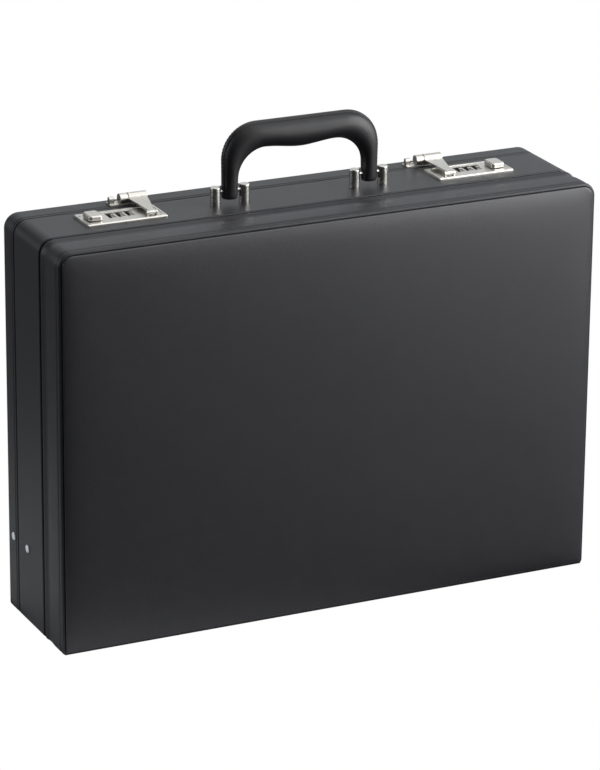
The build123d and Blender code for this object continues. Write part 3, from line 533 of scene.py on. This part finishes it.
def grip_frame(place):
    """The grip's middle, outward direction, half thickness, half width and swell at a place."""
    outer = handle_edge(OUT_X, GRIP_HIGH[2], OUT_BEND, 0, place)
    inner = handle_edge(OUT_X - LEG_T, GRIP_HIGH[2] - GRIP_T, IN_BEND, GRIP_BOW, place)
    swell = math.sin(math.pi * place)
    out = outer - inner
    return (outer + inner) / 2, out.normalized(), out.length / 2, (5.8 + 4.4 * swell) * MM, swell


def grip_point(frame_at, angle, scale=1.0):
    """A point on the grip's skin: a round section with a sewn welt along its outer edge.

    Angle 0 is the outer edge. The welt stands between two creases, and the underside
    has one flat seam where the leather's edges meet.
    """
    middle, out, thick, width, swell = frame_at
    c, s = math.cos(angle), math.sin(angle)
    power = 2 / (2.3 - 0.2 * swell)
    a = (thick - 0.5 * MM) * math.copysign(abs(c) ** power, c)
    b = width * math.copysign(abs(s) ** power, s)
    side = b / MM
    if c > 0:
        ridge = math.exp(-(side / 2.3) ** 4) - 1.1 * math.exp(-((abs(side) - 3.1) / 0.55) ** 2)
        a += 0.7 * ridge * MM * min(1, c * 2)
    else:
        seam = math.exp(-(side / 1.6) ** 4) - 0.9 * math.exp(-((abs(side) - 2.3) / 0.5) ** 2)
        a -= 0.6 * seam * MM * min(1, -c * 2) * swell
    return middle + scale * (out * a + Vector((0, b, 0)))


def build_grip():
    """The sewn leather grip, with rounded leg ends that hide the pins' eyes."""
    count = 160
    around = 88
    rows = [(0.0, 0.4), (0.0, 0.72), (0.0015, 0.88), (0.0045, 0.97)]
    rows += [(i / count, 1.0) for i in range(2, count - 1)]
    rows += [(1 - place, scale) for place, scale in rows[3::-1]]
    loops = []
    for place, scale in rows:
        station = grip_frame(place)
        loops.append([grip_point(station, math.tau * i / around, scale) for i in range(around)])
    verts, faces = loops_mesh(loops, cap=True, flip=True)
    faces.append(tuple(range(around)))
    grip = make("leather_grip", verts, faces, GRIP_LEATHER, "handle")
    for side, label in ((-1, "front"), (1, "back")):
        line = []
        for i in range(4, count - 3):
            station = grip_frame(i / count)
            angle = side * math.asin(min((4.3 * MM / station[3]) ** (1.1), 1))
            place = grip_point(station, angle)
            line.append((place, station[1] + Vector((0, side * 0.5, 0))))
        stitches(f"grip_stitches_{label}", line, "handle", pitch=2.8 * MM, length=2.1 * MM,
                 width=0.24 * MM)
    return grip


grip = build_grip()
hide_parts("handle_grip")


# ---------------------------------------------------------------- linings and pockets
def pan(name, floor_y, edge_y, inset, round_r, material, body, edge=None):
    """A cloth-lined tray: side walls from edge_y rounded into a slightly padded floor."""
    step = 1 if edge_y > floor_y else -1
    loops = []
    base = outline(inset)
    for t in (0.0, 0.04, 0.12, 0.3, 0.5, 0.7, 0.88, 1.0):
        ring = []
        for x, z, nx, nz in base:
            top = edge_y if edge is None else edge(x, z)
            start = floor_y + step * round_r
            ripple = 0.25 * MM * math.sin(x * 60 + z * 47) * math.sin(math.pi * t)
            lip = 0.35 * MM * math.exp(-(t / 0.05) ** 2)
            ring.append((x - nx * (ripple + 0.3 * MM - lip), top + (start - top) * t,
                         z - nz * (ripple + 0.3 * MM - lip)))
        loops.append(ring)
    for angle in (20, 40, 60, 80, 90):
        a = math.radians(angle)
        grow = round_r * (1 - math.cos(a)) + 0.3 * MM
        ring = [(x, floor_y + step * round_r * (1 - math.sin(a)), z)
                for x, z, _, _ in outline(inset + grow)]
        loops.append(ring)
    # the last ring stops short of the middle, where an outline would turn inside out
    for more in (6, 10, 16, 26, 40, 60, 85, 110, 128, 138):
        ring = []
        for x, z, _, _ in outline(inset + round_r + more * MM):
            uneven = 0.7 + 0.3 * math.sin(x * 23) * math.sin(z * 31)
            pad = 0.5 * MM * (1 - math.exp(-more / 12)) * uneven
            ring.append((x, floor_y + step * pad, z))
        loops.append(ring)
    verts, faces = loops_mesh(loops, cap=True, flip=step > 0)
    return make(name, verts, faces, material, body)


TRAY_LINE_LOW, TRAY_LINE_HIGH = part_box("tray_lining")
LID_LINE_LOW, LID_LINE_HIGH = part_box("lid_lining")
STAY_Z = (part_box("stay_rivets_body")[0][2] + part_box("stay_rivets_body")[1][2]) / 2


def tray_edge(x, z):
    """Where the tray's lining ends: short of the locks above and of the stays' rivets."""
    top = soft_step(z, TRAY_LINE_HIGH[2] - 14 * MM, TRAY_LINE_HIGH[2] - 4 * MM)
    rivet = 1 - soft_step(abs(z - STAY_Z), 5 * MM, 9 * MM)
    rivet *= soft_step(abs(x), TRAY_LINE_HIGH[0] - 8 * MM, TRAY_LINE_HIGH[0] - 2 * MM)
    return TRAY_LINE_HIGH[1] - 18.5 * MM * top - 11 * MM * rivet


tray_cloth = pan("tray_cloth", TRAY_LINE_LOW[1] + 0.8 * MM, TRAY_LINE_HIGH[1],
                 HALF_W - TRAY_LINE_HIGH[0] + 0.8 * MM, 4 * MM, LINING, "tray", tray_edge)
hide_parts("tray_lining")
lid_cloth = pan("lid_cloth", LID_LINE_HIGH[1] - 0.8 * MM, LID_LINE_LOW[1],
                HALF_W - LID_LINE_HIGH[0] + 0.8 * MM, 3 * MM, LINING, "lid")
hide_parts("lid_lining")

LID_FLOOR = LID_LINE_HIGH[1] - 0.8 * MM


def pocket(name, x_low, x_high, z_low, z_high, thick, bow, seams=()):
    """A flat pocket sewn on three sides, its mouth bowing open under a turned hem."""
    columns, rows = 48, 28
    verts = []
    for layer in (0, 1):
        for j in range(rows + 1):
            v = j / rows
            for i in range(columns + 1):
                u = i / columns
                x = x_low + (x_high - x_low) * u
                dip = bow * math.sin(math.pi * u) * soft_step(v, 0.75, 1.0)
                z = z_low + (z_high - z_low) * v - dip
                rim = min(soft_step(u, 0, 0.03), soft_step(1 - u, 0, 0.03), soft_step(v, 0, 0.06))
                for seam in seams:
                    rim *= 0.35 + 0.65 * soft_step(abs(u - seam), 0.0, 0.02)
                puff = 0.35 + 0.65 * rim * (0.75 + 0.25 * math.sin(u * 17 + v * 5) * math.sin(v * 7))
                fold = 1.6 * math.exp(-((v - 0.9) / 0.008) ** 2)
                hem = 0.35 * MM * (soft_step(v, 0.9, 0.91) - fold)
                depth = thick * puff + hem if layer else 0.05 * MM
                verts.append((x, LID_FLOOR - 0.5 * MM - depth, z))
    count = (columns + 1) * (rows + 1)
    faces = []
    for layer in (0, 1):
        for j in range(rows):
            for i in range(columns):
                a = layer * count + j * (columns + 1) + i
                face = (a, a + 1, a + columns + 2, a + columns + 1)
                faces.append(face if layer else face[::-1])
    border = ([j * (columns + 1) for j in range(rows, -1, -1)] + list(range(1, columns + 1))
              + [j * (columns + 1) + columns for j in range(1, rows + 1)]
              + list(range(rows * (columns + 1) + columns - 1, rows * (columns + 1), -1)))
    for a, b in zip(border, border[1:] + border[:1]):
        faces.append((a, b, b + count, a + count))
    piece = make(name, verts, faces, POCKET_LEATHER, "lid")
    inner = 2.2 * MM
    y = LID_FLOOR - 0.5 * MM - thick * 0.62
    left, right = x_low + inner, x_high - inner
    foot, head = z_low + inner, z_high - inner
    corners = ((left, head), (left, foot), (right, foot), (right, head))
    stitches(f"{name}_stitches", [((x, y, z), (0, -1, 0)) for x, z in corners], "lid")
    return piece


FILE_LOW, FILE_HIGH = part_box("file_pocket")
CARD_LOW, CARD_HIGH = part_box("card_pockets")
LOOPS_LOW, LOOPS_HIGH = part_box("pen_loops")
file_piece = pocket("file_pocket_leather", FILE_LOW[0], FILE_HIGH[0], FILE_LOW[2], FILE_HIGH[2],
                    3.2 * MM, seams=(0.5,), bow=5 * MM)
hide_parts("file_pocket")
card_width = 105 * MM
for number, start in enumerate((CARD_LOW[0], CARD_HIGH[0] - card_width), start=1):
    height = CARD_HIGH[2] - CARD_LOW[2]
    for layer, share in enumerate((1.0, 0.76, 0.52)):
        pocket(f"card_pocket_{number}_{layer + 1}", start, start + card_width,
                                  CARD_LOW[2], CARD_LOW[2] + height * share,
                                  (0.8 + 0.75 * layer) * MM, bow=1.2 * MM)
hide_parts("card_pockets")


def pen_loop(name, x, z):
    """One elastic loop for a pen, arched off the lining with its two sewn ends."""
    verts, faces = [], []
    section = []
    width = 15 * MM
    steps = 24
    for i in range(steps + 1):
        u = i / steps
        arch = math.sin(math.pi * min(max((u - 0.12) / 0.76, 0), 1))
        section.append((x - 9.5 * MM + 19 * MM * u, LID_FLOOR - (0.7 + 5.2 * arch ** 0.7) * MM))
    for thick in (0, 0.7 * MM):
        for j in range(5):
            for sx, sy in section:
                verts.append((sx, sy + thick, z + width * j / 4))
    row = steps + 1
    for layer in (0, 1):
        for j in range(4):
            for i in range(steps):
                a = layer * 5 * row + j * row + i
                face = (a, a + 1, a + row + 1, a + row)
                faces.append(face[::-1] if layer else face)
    for i in range(steps):
        for j in (0, 4):
            a = j * row + i
            b = a + 5 * row
            faces.append((a, b, b + 1, a + 1) if j == 0 else (a, a + 1, b + 1, b))
    return make(name, verts, faces, POCKET_LEATHER, "lid")


pen_loops = []
for z_row in (LOOPS_LOW[2], LOOPS_HIGH[2] - 14 * MM):
    for i in range(3):
        pen_loops.append(pen_loop(f"pen_loop_{len(pen_loops) + 1}", (75 + 22 * i) * MM, z_row))
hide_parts("pen_loops")


# ---------------------------------------------------------------- numbers on the dials
def digit_outline(text):
    """A digit's flat mesh from Blender's own font, centred, 1 unit high."""
    curve = bpy.data.curves.new("digit", "FONT")
    curve.body = text
    curve.resolution_u = 3
    holder = bpy.data.objects.new("digit", curve)
    bpy.context.scene.collection.objects.link(holder)
    bpy.context.view_layer.update()
    shown = holder.evaluated_get(bpy.context.evaluated_depsgraph_get())
    mesh = bpy.data.meshes.new_from_object(shown)
    points = [v.co.copy() for v in mesh.vertices]
    faces = [tuple(p.vertices) for p in mesh.polygons]
    bpy.data.objects.remove(holder)
    bpy.data.curves.remove(curve)
    bpy.data.meshes.remove(mesh)
    low = Vector((min(p.x for p in points), min(p.y for p in points)))
    high = Vector((max(p.x for p in points), max(p.y for p in points)))
    middle = (low + high) / 2
    tall = high.y - low.y
    return [((p.x - middle.x) / tall, (p.y - middle.y) / tall) for p in points], faces


DIGITS = [digit_outline(str(k)) for k in range(10)]


def dial_numbers(side, number):
    """Ten numbers round one dial, with 0 at the top."""
    low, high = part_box(f"{side}_dial_{number}")
    centre = Vector(((low[0] + high[0]) / 2, (low[1] + high[1]) / 2, (low[2] + high[2]) / 2))
    radius = 7.0 * MM
    ink_r = radius + 0.02 * MM
    tall, wide = 2.9 * MM, 2.6 * MM
    verts, faces = [], []
    for k, (points, shapes) in enumerate(DIGITS):
        base = len(verts)
        for px, py in points:
            angle = math.tau * k / 10 + py * tall / radius
            verts.append((centre.x + px * wide, centre.y + ink_r * math.sin(angle),
                          centre.z + ink_r * math.cos(angle)))
        faces += [tuple(base + i for i in shape) for shape in shapes]
    dial = f"{side}_dial_{number}"
    return make(f"{dial}_numbers", verts, faces, INK, dial, smooth=False)


for side in ("left", "right"):
    for number in (1, 2, 3):
        dial_numbers(side, number)


# ---------------------------------------------------------------- finishes on CAD nodes
def paint(material, *nodes):
    """Gives CAD nodes a better material."""
    for name in nodes:
        node = frame["nodes"][name]
        node.data.materials.clear()
        node.data.materials.append(material)


paint(WOOD, "body_frame", "tray_frame", "tray_board", "lid_frame", "lid_board")
paint(SLEEVE, "tray_sleeve")
paint(TONGUE, "body_tongue")
paint(ZINC, "handle_nuts", "handle_core", "hinge_screws_body", "hinge_screws_lid")
paint(SATIN, "hinge_leaf_body", "hinge_leaf_lid", "hinge_pin", "lock_rivets", "stay_bushes")
paint(BRIGHT, "handle_posts", "handle_pins", "catch_rivets")
paint(RIVET, "stay_rivets_body", "stay_rivets_lid")
for side in ("left", "right"):
    paint(SATIN, f"{side}_lock_plate", f"{side}_slide_button", f"{side}_stay_lower",
          f"{side}_stay_upper", f"{side}_expansion_knob", f"{side}_catch", f"{side}_hasp")
    paint(BRIGHT, f"{side}_hasp_pin")
    paint(ZINC, f"{side}_lock_housing", f"{side}_dial_shaft")
    paint(DIAL, *[f"{side}_dial_{k}" for k in (1, 2, 3)])


# ---------------------------------------------------------------- stage, light and camera
YAW, PITCH, ROLL = (math.radians(angle) for angle in (25.534, 19.974, 0.526))
LENS_MM = 186.21818
CAMERA_AWAY = 3.1
AIM = Vector((0, 0, 0.165))
NUDGE_RIGHT, NUDGE_UP = -0.0018, 0.0022


def floor():
    """A wide floor, unseen by the camera, whose colour is painted light and shade: pale beside and
    behind the case as a painted pool of light, and dark elsewhere as painted shade.

    It is cut away behind the case, where the lid swings down below it.
    """
    mesh = bpy.data.meshes.new("floor")
    far = 30
    drop = -0.2 * MM
    across_cut = (-far, -0.228, 0.228, far)
    along_cut = (-far, 0.03, 0.38, far)
    verts = [(x, y, drop) for y in along_cut for x in across_cut]
    faces = [(4 * row + k, 4 * row + k + 1, 4 * row + k + 5, 4 * row + k + 4)
             for row in range(3) for k in range(3) if (row, k) != (1, 1)]
    mesh.from_pydata(verts, [], faces)
    plane = bpy.data.objects.new("floor", mesh)
    bpy.context.scene.collection.objects.link(plane)
    n = Nodes("floor_painted_light")
    away = n.node("ShaderNodeVectorMath", "Value", {0: n.coords}, operation="LENGTH")
    across = n.node("ShaderNodeVectorMath", "Value", {0: n.coords, 1: (-0.25, 0.97, 0)},
                    operation="DOT_PRODUCT")
    # painted light and shade: the floor's colour is pale near the case and behind its front, fading
    # with distance and dark in front, to light the case by bounce and reflection
    painted_light_and_shade = n.math("MULTIPLY", n.remap(away, 0.26, 0.6, 1.0, 0.17),
                   n.remap(across, -0.1, 0.04, 0.03, 1.0))
    mesh.materials.append(n.finish(base_color=n.mix(painted_light_and_shade, (0, 0, 0), (1, 1, 1)), roughness=0.8,
                                   specular_ior_level=0.1))
    plane.visible_camera = False


floor()


def world():
    """White to the camera, and to all else a studio lit from behind, both sides and above."""
    sky = bpy.data.worlds.new("studio")
    sky.use_nodes = True
    bpy.context.scene.world = sky
    tree = sky.node_tree
    tree.nodes.clear()
    where = tree.nodes.new("ShaderNodeTexCoord").outputs["Generated"]

    def facing(direction, low, high, most):
        """Light from one direction: 0 up to low of the cosine, and most from high on."""
        dot = tree.nodes.new("ShaderNodeVectorMath")
        dot.operation = "DOT_PRODUCT"
        dot.inputs[1].default_value = direction
        ramp = tree.nodes.new("ShaderNodeMapRange")
        ramp.interpolation_type = "SMOOTHSTEP"
        ramp.inputs["From Min"].default_value = low
        ramp.inputs["From Max"].default_value = high
        ramp.inputs["To Max"].default_value = most
        tree.links.new(where, dot.inputs[0])
        tree.links.new(dot.outputs["Value"], ramp.inputs["Value"])
        return ramp.outputs[0]

    level, rise = 0.94, 0.342  # the light behind comes from 20 degrees above level
    back = (math.sin(YAW) * level, math.cos(YAW) * level, rise)
    right = (math.cos(YAW), -math.sin(YAW), 0)
    left = (-math.cos(YAW), math.sin(YAW), 0)
    glow = 0.045
    total = facing(back, 0.76, 0.95, 0.8)
    for lamp in (facing(right, 0.6, 0.88, 1.4), facing(left, 0.76, 0.94, 1.9),
                 facing((0, 0, 1), 0.5, 0.95, 0.35)):
        add = tree.nodes.new("ShaderNodeMath")
        tree.links.new(total, add.inputs[0])
        tree.links.new(lamp, add.inputs[1])
        total = add.outputs[0]
    base = tree.nodes.new("ShaderNodeMath")
    base.inputs[1].default_value = glow
    tree.links.new(total, base.inputs[0])
    soft = tree.nodes.new("ShaderNodeBackground")
    soft.inputs[0].default_value = (0.95, 0.98, 1.0, 1)
    tree.links.new(base.outputs[0], soft.inputs["Strength"])
    white = tree.nodes.new("ShaderNodeBackground")
    white.inputs[0].default_value = (1, 1, 1, 1)
    rays = tree.nodes.new("ShaderNodeLightPath")
    pick = tree.nodes.new("ShaderNodeMixShader")
    tree.links.new(rays.outputs["Is Camera Ray"], pick.inputs[0])
    tree.links.new(soft.outputs[0], pick.inputs[1])
    tree.links.new(white.outputs[0], pick.inputs[2])
    tree.links.new(pick.outputs[0], tree.nodes.new("ShaderNodeOutputWorld").inputs[0])


world()


def soft_light(name, place, target, size, power):
    """A rectangular softbox aimed at a point, unseen by the camera."""
    light = bpy.data.lights.new(name, "AREA")
    light.shape = "RECTANGLE"
    light.size, light.size_y = size
    light.energy = power
    lamp = bpy.data.objects.new(name, light)
    lamp.location = place
    lamp.rotation_euler = (Vector(target) - Vector(place)).to_track_quat("-Z", "Y").to_euler()
    lamp.visible_camera = False
    bpy.context.scene.collection.objects.link(lamp)


soft_light("overhead", (0.2, 0.2, 1.7), (0, 0, 0.2), (1.3, 1.1), 6)
soft_light("right_front", (0.85, -0.45, 0.62), (0.22, -0.03, 0.24), (0.8, 0.9), 11.5)
soft_light("front_top", (0.55, -0.75, 1.25), (0.1, 0, 0.3), (1.6, 1.1), 7)
soft_light("edge_glow", (0.8, -0.95, 0.3), (0.25, -0.05, 0.2), (0.6, 0.5), 5)


def camera():
    """A camera that looks down on the case from its left front through a long lens."""
    level = math.cos(PITCH)
    forward = Vector((math.sin(YAW) * level, math.cos(YAW) * level, -math.sin(PITCH)))
    right = Vector((math.cos(YAW), -math.sin(YAW), 0))
    up = right.cross(forward)
    tilted_right = right * math.cos(ROLL) + up * math.sin(ROLL)
    tilted_up = up * math.cos(ROLL) - right * math.sin(ROLL)
    lens = bpy.data.cameras.new("camera")
    lens.lens = LENS_MM
    lens.sensor_fit = "AUTO"
    lens.clip_start = 0.1
    lens.clip_end = 100
    viewer = bpy.data.objects.new("camera", lens)
    place = AIM - forward * CAMERA_AWAY + tilted_right * NUDGE_RIGHT + tilted_up * NUDGE_UP
    rows = Matrix((tilted_right, tilted_up, -forward)).transposed()
    viewer.matrix_world = Matrix.Translation(place) @ rows.to_4x4()
    bpy.context.scene.collection.objects.link(viewer)
    bpy.context.scene.camera = viewer


camera()
bpy.context.scene.view_settings.view_transform = "Standard"
